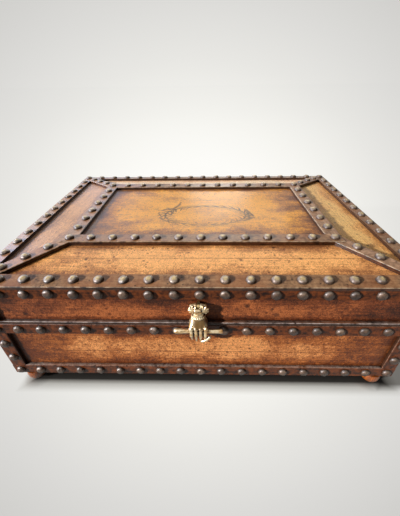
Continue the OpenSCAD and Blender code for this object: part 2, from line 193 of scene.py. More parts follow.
# %% Room
def seen_directly(add):
    """1 for what the camera, a mirror or a glass sees, 0 for light that falls on other things."""
    path = add("LightPath").outputs
    seen = add("Math MAXIMUM", (path["Is Camera Ray"], path["Is Transmission Ray"]))
    return add("Math MAXIMUM", (seen, path["Is Glossy Ray"]))


RING_AT, RING_ALONG = Vector((0.007, -0.369, 0.333)), Vector((-0.024, 0.828, -0.561)).normalized()


def painted_ring_light(add, way):
    """The painted tone of pale paper in this direction from where a ring lamp would stand: a painted pool
    of light, brightest along its middle ray.
    """
    unit = add("VectorMath NORMALIZE", (way,))
    turned = add("VectorMath DOT_PRODUCT", (unit, tuple(RING_ALONG)))
    return add("ValToRGB", (turned,), stops=[(0.4, "#bdbbb8"), (0.639, "#d1d0cd"), (0.726, "#dddcd9"),
                                             (0.804, "#e8e7e3"), (0.888, "#f6f5f0"), (0.943, "#fdfcf8")])


def patch_of_sky(add, ray, to, outer, inner):
    """1 inside a round patch of the surroundings, 0 outside it."""
    dot = add("VectorMath DOT_PRODUCT", (ray, tuple(Vector(to).normalized())))
    return add("MapRange", (dot, outer, inner), interpolation_type="SMOOTHSTEP")


world = bpy.data.worlds.new("studio")
scene.world = world
world.use_nodes = True
world.node_tree.nodes.clear()
add = partial(add_node, world.node_tree)
ray = add("TexCoord").outputs["Generated"]
parts = add("SeparateXYZ", (ray,)).outputs
behind = add("MapRange", (parts["Y"], -0.35, 0.1))
aside = add("MapRange", (parts["X"], 0.72, 0.48))
lit = add("Math MULTIPLY", (behind, aside))
ceiling = patch_of_sky(add, ray, (0, -0.35, 0.94), 0.68, 0.88)
window = patch_of_sky(add, ray, (-0.82, -0.42, 0.38), 0.68, 0.88)
side_window = patch_of_sky(add, ray, (-0.87, 0.4, 0.26), 0.84, 0.95)
corner_window = patch_of_sky(add, ray, (-0.36, 0.9, 0.25), 0.972, 0.994)
glare = patch_of_sky(add, ray, (0.045, 0.94, 0.34), 0.99, 0.999)
cool = add("Math MAXIMUM", (window, corner_window))
cool = add("Math MAXIMUM", (cool, side_window))
around = "#2a2622"
for share, tint in ((lit, painted_ring_light(add, ray)), (ceiling, "#e6e2dc"), (cool, "#d3e0ff")):
    around = add("Mix RGBA", (share, around, tint))
strength = 1.0
for patch, more in ((window, 2.6), (side_window, 3.0), (corner_window, 1.2), (glare, 9.0)):
    strength = add("Math MULTIPLY_ADD", (patch, more, strength))
soft = add("Background", ((1, 1, 1, 1), 0.09))
mirrored = add("Background", (around, strength))
wall = add("Background", (painted_ring_light(add, ray), 1.0))
lit_room = add("MixShader", (seen_directly(add), soft, mirrored))
to_camera = add("LightPath").outputs["Is Camera Ray"]
add("OutputWorld", (add("MixShader", (to_camera, lit_room, wall)),))
print("room: two windows on the left, a ceiling, two far windows and a pale wall")

# %% Paper floor
UNDER_CHEST = (-0.224, -0.169), (0.24, 0.169)
THROWN_RIGHT = (0.225, -0.173), (0.5, 0.2)
paper, add = new_material("pale_paper_sweep")
place = add("TexCoord").outputs["Object"]
tone = painted_ring_light(add, add("VectorMath SUBTRACT", (place, tuple(RING_AT))))


def outside_of(low, high):
    """How far a floor point lies outside a rectangle's sides in x and y, less than 0 between them."""
    middle = (-(low[0] + high[0]) / 2, -(low[1] + high[1]) / 2, 0)
    parts = add("SeparateXYZ", (add("VectorMath ADD", (place, middle)),)).outputs
    sides = []
    for k in (0, 1):
        off = add("Math ABSOLUTE", (parts[k],))
        sides.append(add("Math SUBTRACT", (off, (high[k] - low[k]) / 2)))
    return sides


# painted shadow under the chest, nearly black, cut out by a rectangle
sides = outside_of(*UNDER_CHEST)
within = add("Math MAXIMUM", sides)
within = add("Math MULTIPLY_ADD", (within, 20.0, 0.5))
painted_shadow_under = add("ValToRGB", (within,), stops=[(0.15, "#171513"), (0.41, "#393633"), (0.47, "#a5a29e"),
                                          (0.55, "#dcdbd8"), (0.8, "#ffffff")])
tone = add("Mix RGBA", (1.0, tone, painted_shadow_under), blend_type="MULTIPLY")
# painted grey shadow, as if the chest threw it to the right, and that fades out there
painted_shadow_right = add("MapRange", (add("Math MAXIMUM", outside_of(*THROWN_RIGHT)), 0.004, -0.006))
fading = add("MapRange", (add("SeparateXYZ", (place,)).outputs["X"], 0.44, 0.27))
painted_shadow_right = add("Math MULTIPLY", (painted_shadow_right, fading))
shaded = add("Mix RGBA", (1.0, tone, "#83817e"), blend_type="MULTIPLY")
tone = add("Mix RGBA", (painted_shadow_right, tone, shaded))
# painted contact shade: the paper darkens towards near black where little of its surroundings is seen
contact = add("AmbientOcclusion", {"Color": tone, "Distance": 0.012}, samples=8)
dim = add("Math POWER", (contact.outputs["AO"], 0.9))
paper_with_painted_shade = add("Mix RGBA", (dim, "#1d1a18", tone))
# away from the chest the paper glows in its own tone, and close to it the lamps light it
seen = seen_directly(add)
bounced = add("Mix RGBA", (seen, "#45423f", paper_with_painted_shade))
sweep = add("BsdfPrincipled", {"Base Color": bounced, "Roughness": 0.9, "Specular IOR Level": 0.1})
glow = add("Emission", {"Color": paper_with_painted_shade, "Strength": 1.0})
away = add("CombineXYZ", [add("Math MAXIMUM", (side, 0.0)) for side in sides])
away = add("VectorMath LENGTH", (away,))
share = add("MapRange", (away, 0.0, 0.012, 0.1, 0.96))
share = add("Math MULTIPLY", (share, seen))
add("OutputMaterial", (add("MixShader", (share, sweep, glow)),))
floor = new_piece("paper_floor", [(-12, -12, 0), (12, -12, 0), (12, 12, 0), (-12, 12, 0)], [(0, 1, 2, 3)],
                  paper)
floor.location = (0, 0, cad_low.z)
floor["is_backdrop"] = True
print("floor at", round(cad_low.z, 4))

# %% [markdown]
# ## Veneered boards
# The panels are thin golden veneer on plain boards. The finisher sprayed brown shade round each panel,
# so the middle glows, flicked dark specks over it, and pressed worm holes and fine cracks into it. Right
# against the battens the wood darkens further, with grime and painted shade, and below the batten at the
# top of an upright panel the brown shade also stands for that batten's shadow: a painted shadow. One
# function finishes one panel: it takes the lines that border the panel, works out how far a point is
# from the nearest of them, and shades by that distance. A line with a longer arrow counts its distance
# faster, so the shade beside it is narrower. The faces inside the chest stay plain stained wood.

# %% The finish of one panel
FLECKS = [(21.0, 0.075, 0.5, 1.0), (8.0, 0.125, 0.7, 0.95), (4.8, 0.17, 0.55, 0.85), (2.8, 0.23, 0.5, 0.6)]


def stretched(grain, across, along):
    """The scale of a pattern along x, y and z, another one along the axes of the grain."""
    return [along if axis in grain else across for axis in range(3)]


def antique_veneer(name, borders, out, grain, middle, half, rim, cracks=(), seed=0.0, glow=0.0,
                   sheen=0.05, mottled=1.3, haze=0.25, pitted=1.0, batten_grime_and_shade=0.7, clouds=36 * MM, paint=None):
    """borders: (arrow, distance) of each line round the panel, the arrows pointing inwards.
    out: where the face looks. grain: 0 for x, 1 for y. cracks: lines, given like the borders."""
    material, add = new_material(name)
    texture = add("TexCoord").outputs
    place = texture["Object"]
    near = None
    for arrow, distance in borders:
        gap = add("Math SUBTRACT", (add("VectorMath DOT_PRODUCT", (place, arrow)), distance))
        near = gap if near is None else add("Math SMOOTH_MIN", (near, gap, 0.008))
    moved = add("VectorMath ADD", (place, (seed, seed * 0.7, 0)))
    # clouds of shade about 30 mm across, longer along the grain
    smoke = add("VectorMath MULTIPLY", (moved, stretched((grain,), 34.0, 20.0)))
    cloud = add("TexNoise", (smoke, 1.0, 4.0, 0.6))
    # burr figure: lively mottling about 4 mm across, and pepper of 1 mm
    burr = add("TexNoise",
               {"Vector": moved, "Scale": 240.0, "Detail": 3.0, "Roughness": 0.7, "Distortion": 0.8})
    pepper = add("TexNoise", (moved, 800.0, 2.0, 0.75))
    # grain lines about 2 mm apart and 60 mm long
    lines = add("VectorMath MULTIPLY", (moved, stretched((grain,), 520.0, 17.0)))
    figure = add("TexNoise",
                 {"Vector": lines, "Scale": 1.0, "Detail": 3.0, "Roughness": 0.6, "Distortion": 0.3})
    uneven = add("Math MULTIPLY_ADD", (cloud, clouds, -clouds / 2))
    shade = add("MapRange", (add("Math ADD", (near, uneven)), -0.006, 0.030),
                interpolation_type="SMOOTHSTEP")
    level = add("Math MULTIPLY_ADD", (burr, 1.0, -0.5))
    for part, weight in ((figure, 0.5), (cloud, 1.3), (pepper, 0.6)):
        level = add("Math ADD", (level, add("Math MULTIPLY_ADD", (part, weight, -weight / 2))))
    level = add("Math MULTIPLY_ADD", (shade, 0.78, add("Math ADD", (level, 0.04 + glow))))
    wood = add("ValToRGB", (level,), stops=[(0.0, rim), (0.45, half), (0.92, middle)])
    # the same mottling lightens and darkens every shade
    lively = add("Math MULTIPLY", (pepper, 0.54))
    for part, weight in ((burr, 0.26), (figure, 0.2)):
        lively = add("Math MULTIPLY_ADD", (part, weight, lively))
    lively = add("Math MULTIPLY_ADD", (lively, mottled, 1.0 - mottled / 2))
    dark = add("HueSaturation", {"Value": lively, "Color": wood})
    if paint:
        dark = paint(add, place, burr, cloud, dark)
    # flecks: cells of four widths in mm, the size of a dot, the share of cells with one, its darkness
    ragged = add("VectorMath MULTIPLY_ADD", (pepper.outputs["Color"], (0.0009, 0.0009, 0.0009), moved))
    pits = None
    for cell, size, share, strength in FLECKS:
        dots = add("TexVoronoi", {"Vector": ragged, "Scale": 1000.0 / cell})
        pick = add("SeparateColor", (dots.outputs["Color"],)).outputs
        chosen = add("Math LESS_THAN", (pick[0], share * pitted))
        width = add("Math POWER", (pick[1], 2.0))
        width = add("Math MULTIPLY_ADD", (width, size * 1.2 * pitted, size * 0.45 * pitted))
        dot = add("MapRange", (dots.outputs["Distance"], width, 0.0))
        dot = add("Math MULTIPLY", (add("Math POWER", (dot, 0.45)), chosen))
        ink = "#28110a" if cell > 10 else "#552410"
        dark = add("Mix RGBA", (add("Math MULTIPLY", (dot, strength)), dark, ink))
        pits = dot if pits is None else add("Math MAXIMUM", (pits, dot))
    for arrow, distance in cracks:
        dot = add("VectorMath DOT_PRODUCT", (place, arrow))
        wander = add("Math MULTIPLY_ADD", (figure, 0.0008, -0.0004 - distance))
        gap = add("Math ABSOLUTE", (add("Math ADD", (dot, wander)),))
        crack = add("MapRange", (gap, 0.0008, 0.0002))
        broken = add("Math MULTIPLY", (add("MapRange", (pepper, 0.42, 0.52)), 0.75))
        dark = add("Mix RGBA", (add("Math MULTIPLY", (crack, broken)), dark, "#43200e"))
    # grime and painted shade against the battens
    grime_and_shade = add("MapRange", (near, 0.003, -0.0005, 0.0, batten_grime_and_shade))
    dark = add("Mix RGBA", (grime_and_shade, dark, "#2a1308"))
    # inside faces: plain stained board
    facing = add("VectorMath DOT_PRODUCT", (texture["Normal"], out))
    outside = add("Math GREATER_THAN", (facing, 0.4))
    plain = add("ValToRGB", (figure,), stops=[(0.3, "#4a2c19"), (0.7, "#6e4529")])
    skin = add("Mix RGBA", (outside, plain, dark))
    height = add("Math MULTIPLY_ADD", (burr, 0.35, add("Math MULTIPLY", (pits, -1.0))))
    bump = add("Bump", {"Height": height, "Strength": 0.4, "Distance": 0.0004})
    gloss = add("MapRange", (burr, 0.3, 0.7, 0.36, 0.52))
    lacquer = add("BsdfPrincipled", {
        "Base Color": skin, "Roughness": gloss, "Specular IOR Level": 0.2, "Coat Weight": sheen,
        "Coat Roughness": haze, "Normal": bump})
    add("OutputMaterial", (lacquer,))
    return material


def dress(node_name, material):
    """The node keeps its shape and gets the finish."""
    for slot in nodes[node_name].material_slots:
        slot.material = material


# %% Lines of the case that border the panels
strip, frame_half = 17 * MM, 9 * MM
left, right_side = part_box("base_front_foot_strip")[0].x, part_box("base_front_foot_strip")[1].x
front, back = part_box("base_left_foot_strip")[0].y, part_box("base_left_foot_strip")[1].y
roof_low, roof_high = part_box("lid_top_panel")
centre_y = (front + back) / 2
band_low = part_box("lid_front_band")[0].z
bead_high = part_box("lid_front_bead")[1].z
foot_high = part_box("base_front_foot_strip")[1].z
top_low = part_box("base_front_top_strip")[0].z
print("case", round(right_side - left, 4), "x", round(back - front, 4), "panel z", round(roof_high.z, 4))


def line(arrow, through, pace=1.0):
    """A border that runs through a point, with its arrow made longer by the pace."""
    arrow = Vector(arrow) * pace
    return tuple(arrow), arrow.dot(Vector(through))


# %% Upright panels of the box and of the lid
SIDES = {"front": ((0, -1, 0), 0), "right": ((1, 0, 0), 1), "back": ((0, 1, 0), 0), "left": ((-1, 0, 0), 1)}
CRACK_UP = 25 * MM
corner_low, corner_high = (left + strip, front + strip, 0), (right_side - strip, back - strip, 0)
for number, (side, (out, grain)) in enumerate(SIDES.items()):
    across = Vector((1, 0, 0) if grain == 0 else (0, 1, 0))
    ends = [line(across, corner_low, 0.22), line(-across, corner_high, 0.2)]
    # on the box and on the lid the brown shade below the top border also stands for the shadow of the
    # batten above it: a painted shadow
    low = ends + [line((0, 0, 1), (0, 0, foot_high), 1.1), line((0, 0, -1), (0, 0, top_low), 1.6)]
    material = antique_veneer("veneer_box_" + side, low, out, grain, "#e0975a", "#a25c2c", "#602d10",
                              cracks=[line((0, 0, 1), (0, 0, foot_high + CRACK_UP))],
                              seed=1.7 * number + 0.3, mottled=3.6, pitted=1.25, clouds=26 * MM)
    dress("base_" + side + "_wall", material)
    high = ends + [line((0, 0, 1), (0, 0, bead_high), 3.0), line((0, 0, -1), (0, 0, band_low), 1.3)]
    material = antique_veneer("veneer_rim_" + side, high, out, grain, "#a45d33", "#723b1f", "#361809",
                              seed=1.7 * number + 1.1, glow=0.05, mottled=4.2, pitted=1.5,
                              clouds=24 * MM)
    dress("lid_" + side + "_wall", material)
print("upright panels finished:", 2 * len(SIDES))

# %% Sloping panels
half_x, half_y = (right_side - left) / 2, (back - front) / 2
middle = Vector((0, centre_y, 0))
ROOF_RUN, CRACK_IN = 79, 47  # mm from the lower edge
# the four slopes are one veneer, and their tones differ with the light on each side: the right and back
# ones are lighter, a painted light, and the left one is greyer, a painted sheen
SLOPE_TONES_WITH_PAINTED_LIGHT = {"front": ("#f2ae68", "#c5854c", "#8a5530"), "right": ("#ffca7c", "#f0ac62", "#b87a3c"),
         "back": ("#ffdcb2", "#ffc898", "#e0aa84"), "left": ("#c79468", "#a67a5a", "#7f5d47")}
for number, (side, (out, grain)) in enumerate(SIDES.items()):
    inward = -Vector(out)
    half_deep, half_wide = (half_y, half_x) if grain == 0 else (half_x, half_y)
    edge = middle - inward * half_deep
    borders = [line(inward, edge + inward * strip, 1.2),
               line(-inward, edge + inward * (ROOF_RUN * MM - frame_half), 1.6)]
    for turn_way in (-1, 1):
        sideways = Vector((-inward.y, inward.x, 0)) * turn_way
        away = (inward - sideways).normalized()
        corner = edge + sideways * half_wide
        shaded_end = side == "front" and turn_way == 1
        borders.append(line(away, corner + away * strip / 2, 0.19 if shaded_end else 0.36))
    crack = [line(inward, edge + inward * CRACK_IN * MM)] if grain == 0 else []
    dress("lid_" + side + "_slope",
          antique_veneer("veneer_slope_" + side, borders, (0, 0, 1), grain, *SLOPE_TONES_WITH_PAINTED_LIGHT[side], cracks=crack,
                         seed=2.3 * number + 4.1, glow=0.06, sheen=0.26, mottled=2.9, pitted=1.1,
                         batten_grime_and_shade=0.7 if side == "front" else 0.25))
print("sloping panels finished:", len(SIDES))

# %% [markdown]
# ## The painted wreath
# Someone painted a wreath on the top panel, and it has almost worn away: a thin oval stem with small
# leaves on both sides, a bow at the left and a leaf at the right. Thin paint has no thickness that
# shows, so it belongs in the material of the panel. The oval is a distance that is 1 on the stem; the
# leaves repeat with the angle round it, and a cloud pattern takes away what has been rubbed off.

# %% Paint on the top panel
WREATH_AT, WREATH_HALF = (0.005, -0.017), (0.057, 0.031)
BOW_AND_LEAF = [((-58, -1), (-50, 6), 2.4), ((-50, 4), (-41, 3), 3.2), ((-43, 4), (-34, 20), 2.6),
                ((-36, 18), (-33, 29), 1.6), ((-44, -17), (-41, -1), 2.0), ((-72, 4), (-58, -1), 0.9),
                ((-58, -25), (-54, -31), 2.2), ((-62, -12), (-57, -22), 1.4), ((-52, -33), (-38, -42), 1.3),
                ((65, 0), (72, -20), 2.6), ((58, -35), (73, -25), 1.9), ((66, -6), (66, -28), 3.2)]


def worn_paint(add, place, patches, wear, wood):
    """Lays what is left of the paint over the wood. A stroke has two ends and a half width, in mm."""
    flat = add("VectorMath ADD", (place, (-WREATH_AT[0], -WREATH_AT[1], 0)))
    flat = add("VectorMath MULTIPLY", (flat, (1 / WREATH_HALF[0], 1 / WREATH_HALF[1], 0)))
    parts = add("SeparateXYZ", (flat,)).outputs
    off = add("Math SUBTRACT", (add("VectorMath LENGTH", (flat,)), 1.0))
    off = add("Math ABSOLUTE", (off,))
    angle = add("Math ARCTAN2", (parts["Y"], parts["X"]))
    # leaves lean forwards: the angle is counted on as the point moves away from the stem
    leaning = add("Math MULTIPLY_ADD", (off, -1.6, angle))
    beat = add("Math COSINE", (add("Math MULTIPLY", (leaning, 26.0)),))
    width = add("MapRange", (off, 0.0, 0.24))
    leaf = add("MapRange", (add("Math SUBTRACT", (beat, width)), -0.05, 0.25))
    leaf = add("Math MULTIPLY", (leaf, add("MapRange", (off, 0.24, 0.2))))
    stem = add("MapRange", (off, 0.035, 0.015))
    mask = add("Math MULTIPLY", (add("Math MAXIMUM", (leaf, stem)), 0.95))
    rubbed = add("MapRange", (patches, 0.33, 0.47))
    left_over = add("MapRange", (wear, 0.38, 0.55, 0.55, 1.0))
    mask = add("Math MULTIPLY", (mask, add("Math MULTIPLY", (rubbed, left_over))))
    thick_paint = add("MapRange", (patches, 0.35, 0.45, 0.25, 0.85))
    for start, end, thick in BOW_AND_LEAF:
        a, b = Vector((*start, 0)) * MM, Vector((*end, 0)) * MM
        way = b - a
        rel = add("VectorMath ADD", (place, tuple(-a)))
        rel = add("VectorMath MULTIPLY", (rel, (1, 1, 0)))
        along = add("VectorMath DOT_PRODUCT", (rel, tuple(way / way.length_squared)))
        foot = add("VectorMath SCALE", (tuple(way), add("Clamp", (along,))))
        gap = add("VectorMath DISTANCE", (rel, foot))
        stroke = add("MapRange", (gap, thick * MM, thick * MM * 0.4))
        mask = add("Math MAXIMUM", (mask, add("Math MULTIPLY", (stroke, thick_paint))))
    return add("Mix RGBA", (mask, wood, "#3d2f1c"))


# %% Top panel and bottom board
frame_width = Vector((frame_half, frame_half, 0))
rim_low, rim_high = roof_low + frame_width, roof_high - frame_width
panel = [line((1, 0, 0), rim_low, 0.45), line((-1, 0, 0), rim_high, 0.5),
         line((0, 1, 0), rim_low, 0.9), line((0, -1, 0), rim_high, 2.0)]
dress("lid_top_panel", antique_veneer("veneer_top", panel, (0, 0, 1), 0, "#eaa33f", "#b07236", "#663b22",
                                      seed=9.2, glow=0.02, sheen=0.2, mottled=2.7, haze=0.12,
                                      batten_grime_and_shade=0.35, paint=worn_paint))
dress("base_bottom", antique_veneer("board_bottom", panel, (0, 0, -1), 0, "#8a5a38", "#6e4529", "#4a2c19"))
print("top panel painted with", len(BOW_AND_LEAF), "strokes and an oval of leaves")

# %% [markdown]
# ## Battens
# The battens are straight-grained dark hardwood with rounded edges. Hands and years have rubbed the
# edges pale and left the hollows dark, and the faces that look up have faded in the light. The edge of
# a batten is where its surface turns from one face to the next, so the direction of the surface itself
# says where the wear goes. The strips on the upright sides are darker than those on the lid's top.

# %% The finish of a batten
def stained_hardwood(name, grain, deep="#1d0902", warm="#7a3e1b", faded_and_sheen=("#6b482e", "#be926a"),
                     edge_wear_and_highlight="#cdb596", wear=0.8, seed=0.0, polish=0.05, corner_shade=0.95):
    """grain: the axes that the fibres run along, two for a batten that slants."""
    material, add = new_material(name)
    texture = add("TexCoord").outputs
    moved = add("VectorMath ADD", (texture["Object"], (seed, seed, seed)))
    fibre_scale = stretched(grain, 420.0, 26.0 if len(grain) == 1 else 250.0)
    fibre = add("TexNoise", (add("VectorMath MULTIPLY", (moved, fibre_scale)), 1.0, 3.0, 0.6))
    patch = add("TexNoise", (moved, 150.0, 3.0, 0.6))
    grit = add("TexNoise", (moved, 420.0, 2.0, 0.6))
    blend = add("Math MULTIPLY_ADD", (patch, 0.9, -0.42))
    for part, weight in ((fibre, 0.55), (grit, 0.4)):
        blend = add("Math MULTIPLY_ADD", (part, weight, blend))
    stain = add("ValToRGB", (blend,), stops=[(0.3, deep), (0.74, warm)])
    # faded where it looks up, with a painted sheen on the same faces, but here and there the old orange
    # stain is left, in patches of 50 mm
    faces = add("SeparateXYZ", (texture["Normal"],)).outputs
    up = add("Math MULTIPLY", (add("MapRange", (faces["Z"], 0.85, 0.97)), 0.9))
    pale = add("ValToRGB", (blend,), stops=[(0.3, faded_and_sheen[0]), (0.72, faded_and_sheen[1])])
    broad = add("TexNoise", (moved, 20.0, 3.0, 0.55))
    old_stain = add("MapRange", (broad, 0.45, 0.62, 0.0, 0.45))
    pale = add("Mix RGBA", (old_stain, pale, "#a8673a"))
    surface = add("Mix RGBA", (up, stain, pale))
    # painted shade on the sides that look towards the middle of the case
    inward = add("VectorMath MULTIPLY", (texture["Object"], (1, 1, 0)))
    inward = add("VectorMath DOT_PRODUCT", (texture["Normal"], inward))
    inward = add("MapRange", (inward, -0.03, -0.08, 0.0, 0.75))
    # rubbed edge with a painted highlight: the surface looks along none of the axes, or, on a slanting
    # batten, neither up nor level
    level = add("VectorMath LENGTH", (add("CombineXYZ", (faces["X"], faces["Y"])),))
    strongest = None
    for part in (faces["Z"], level) if len(grain) == 2 else faces:
        part = add("Math ABSOLUTE", (part,))
        strongest = part if strongest is None else add("Math MAXIMUM", (strongest, part))
    edge = add("MapRange", (strongest, 0.96, 0.8))
    spots = add("MapRange", (patch, 0.35, 0.6, 0.1, wear))
    rubbed = add("Math MULTIPLY", (edge, spots))
    dots = add("TexVoronoi", {"Vector": moved, "Scale": 120.0})
    fleck = add("MapRange", (dots.outputs["Distance"], 0.17, 0.05, 0.0, 0.85))
    # painted shade round the nails and in the corner against a panel, where little of the surroundings is
    # seen
    corner = add("AmbientOcclusion", {"Distance": 0.005}, samples=6).outputs["AO"]
    corner = add("MapRange", (corner, 0.85, 0.4, 0.0, corner_shade))
    for share, tint in ((inward, "#3b281d"), (rubbed, edge_wear_and_highlight), (fleck, "#1c0c06"), (corner, "#150a05")):
        surface = add("Mix RGBA", (share, surface, tint))
    bump = add("Bump", {"Height": fibre, "Strength": 0.35, "Distance": 0.0003})
    gloss = add("MapRange", (patch, 0.3, 0.7, 0.3, 0.48))
    wax = add("BsdfPrincipled", {
        "Base Color": surface, "Roughness": gloss, "Specular IOR Level": 0.18, "Coat Weight": polish,
        "Coat Roughness": 0.22, "Normal": bump})
    add("OutputMaterial", (wax,))
    return material


# %% Finish every batten along its own grain
on_roof = {"deep": "#160904", "warm": "#5a3219"}
on_wall = {"faded_and_sheen": ("#4e3d35", "#b8a599"), "edge_wear_and_highlight": "#947a6a", "wear": 0.6}
# the bead's pale faces that look up and its pale edges are a painted highlight
on_bead = {"deep": "#120805", "warm": "#54392c", "faded_and_sheen": ("#2e211b", "#87766d"), "edge_wear_and_highlight": "#b9aca4",
           "wear": 1.0}
# the lid's battens are lighter where they look up, most along y and on the hips: painted sheen over the
# fading
roof_x = stained_hardwood("hardwood_roof_x", (0,), faded_and_sheen=("#62402a", "#b1875f"), polish=0.3, corner_shade=0.5,
                          **on_roof)
roof_y = stained_hardwood("hardwood_roof_y", (1,), faded_and_sheen=("#7c583c", "#c99c76"), polish=0.45, corner_shade=0.4,
                          seed=3.0, **on_roof)
on_hip = stained_hardwood("hardwood_on_hip", (0, 1), faded_and_sheen=("#8a664c", "#d2a683"), polish=0.4, corner_shade=0.5,
                          seed=7.0, **on_roof)
wall_x = stained_hardwood("hardwood_wall_x", (0,), seed=2.0, **on_wall)
wall_y = stained_hardwood("hardwood_wall_y", (1,), seed=4.0, **on_wall)
upright = stained_hardwood("hardwood_upright", (2,), seed=5.0, **on_wall)
bead_x = stained_hardwood("bead_x", (0,), seed=6.0, **on_bead)
bead_y = stained_hardwood("bead_y", (1,), seed=8.0, **on_bead)
BATTENS = [("_hip", on_hip, on_hip), ("corner_strips", upright, upright), ("_bead", bead_x, bead_y),
           ("edge_strip", roof_x, roof_y), ("frame_strip", roof_x, roof_y), ("_strip", wall_x, wall_y),
           ("_band", wall_x, wall_y)]
count = 0
for name in nodes:
    for ending, along_x, along_y in BATTENS:
        if name.endswith(ending):
            dress(name, along_y if "_left_" in name or "_right_" in name else along_x)
            count += 1
            break
print("battens finished:", count)

# %% [markdown]
# ## Turned feet
# Four small bun feet were turned from a lighter wood and lacquered more brightly than the case. Turned
# wood shows its growth rings as stripes down the side, and lacquer lies over it as a clear gloss.

# %% Lacquered turned wood
lacquered, add = new_material("lacquered_turned_wood")
place = add("TexCoord").outputs["Object"]
rings = add("VectorMath MULTIPLY", (place, (700.0, 700.0, 60.0)))
rings = add("TexNoise", (rings, 1.0, 3.0))
warm = add("ValToRGB", (rings,), stops=[(0.3, "#57290c"), (0.7, "#a65516")])
bump = add("Bump", {"Height": rings, "Strength": 0.15, "Distance": 0.0002})
shell = add("BsdfPrincipled", {
    "Base Color": warm, "Roughness": 0.35, "Coat Weight": 0.45, "Coat Roughness": 0.08, "Normal": bump})
add("OutputMaterial", (shell,))
for name in nodes:
    if name.startswith("foot_"):
        dress(name, lacquered)
print("feet finished")

# %% [markdown]
# ## Domed nails
# Every batten is held by upholstery nails with hammered heads, once bright brass and now brown in the
# hollows. A painted reflection of the sky makes the heads that look up dull grey, with a painted highlight
# of gold in their middle. The model has each nail as a plain dome. A real row is never quite even, so each
# head is made again at the middle of its dome, a little turned, moved and dented. The middle and the
# direction of each dome are read from the frame's own mesh: its flat back is its largest face.

# %% Aged brass of the nails
aged, add = new_material("aged_brass_nails")
texture = add("TexCoord").outputs
tone = add("Attribute", attribute_name="tone").outputs["Fac"]
low_rim = add("Attribute", attribute_name="rim").outputs["Fac"]
dents = add("TexNoise", (texture["Object"], 420.0, 3.0, 0.6))
film = add("Math MULTIPLY_ADD", (dents, 0.8, add("Math MULTIPLY_ADD", (tone, 0.3, -0.1))))
head = add("ValToRGB", (film,), stops=[(0.2, "#34251c"), (0.5, "#725744"), (0.85, "#a68c74")])
# painted reflection of the sky: what looks up is dull grey, with a painted highlight of bright brass in the
# middle
look = add("SeparateXYZ", (texture["Normal"],)).outputs["Z"]
grey = add("MapRange", (look, 0.4, 0.85, 0.0, 0.65))
gold = add("MapRange", (add("Math MULTIPLY_ADD", (dents, 0.8, low_rim)), 1.05, 0.65))
gold = add("Math MULTIPLY", (gold, add("MapRange", (look, 0.5, 0.9, 0.0, 0.85))))
# painted shade on the undersides, and darker round the rim
under = add("MapRange", (look, 0.5, -0.25, 0.0, 0.92))
grime_and_shade = add("MapRange", (low_rim, 0.78, 1.0, 0.0, 0.85))
grime_and_shade = add("Math MAXIMUM", (grime_and_shade, under))
for share, tint in ((grey, "#85796b"), (gold, "#c8ad78"), (grime_and_shade, "#21140c")):
    head = add("Mix RGBA", (share, head, tint))
metal = add("MapRange", (grime_and_shade, 0.0, 1.0, 0.28, 0.05))
gloss = add("MapRange", (dents, 0.3, 0.7, 0.38, 0.52))
gloss = add("Math MAXIMUM", (gloss, add("Math MULTIPLY", (grime_and_shade, 0.9))))
shine = add("MapRange", (grime_and_shade, 0.0, 1.0, 0.3, 0.02))
bump = add("Bump", {"Height": dents, "Strength": 0.5, "Distance": 0.0004})
brass = add("BsdfPrincipled", {
    "Base Color": head, "Metallic": metal, "Roughness": gloss, "Specular IOR Level": shine,
    "Coat Weight": 0.8, "Coat Roughness": 0.42, "Normal": bump})
add("OutputMaterial", (brass,))
print("nail metal ready")


# %% Where each nail stands
def nail_places(node_name):
    """(middle of the flat back, direction) of every dome in a node."""
    work = bmesh.new()
    work.from_mesh(nodes[node_name].data)
    bmesh.ops.remove_doubles(work, verts=work.verts, dist=2e-6)
    todo, places = set(work.verts), []
    while todo:
        island, edge = set(), [next(iter(todo))]
        while edge:
            vertex = edge.pop()
            if vertex in island:
                continue
            island.add(vertex)
            edge += [e.other_vert(vertex) for e in vertex.link_edges]
        todo -= island
        faces = {face for vertex in island for face in vertex.link_faces}
        largest = max(faces, key=lambda face: face.calc_area())
        way = -largest.normal.normalized()
        on_back = [v.co for v in island if abs((v.co - largest.verts[0].co).dot(way)) < 2e-5]
        low = Vector([min(c[k] for c in on_back) for k in range(3)])
        high = Vector([max(c[k] for c in on_back) for k in range(3)])
        places.append(((low + high) / 2, way))
    work.free()
    # in a fixed order, so that each head gets the same draws in every run
    return sorted(places, key=lambda spot: [round(part, 5) for part in spot[0]])


found = {name: nail_places(name) for name in ("base_nails", "lid_nails")}
for name, places in found.items():
    print(name, len(places), "heads, first at", [round(v, 4) for v in places[0][0]])

# %% [markdown]
# A head is a low dome turned from six rings round a top point. The profile below gives each ring's
# share of the radius and its height; the last ring sinks into the wood, so a tilted head shows no gap.

# %% Hammered heads
NAIL_PROFILE = [(0.22, 3.92), (0.48, 3.7), (0.72, 3.2), (0.89, 2.15), (0.98, 0.8), (0.99, -0.35)]
AROUND = 20
HEAD_RADIUS, HEAD_HEIGHT = 5.5, 4.0


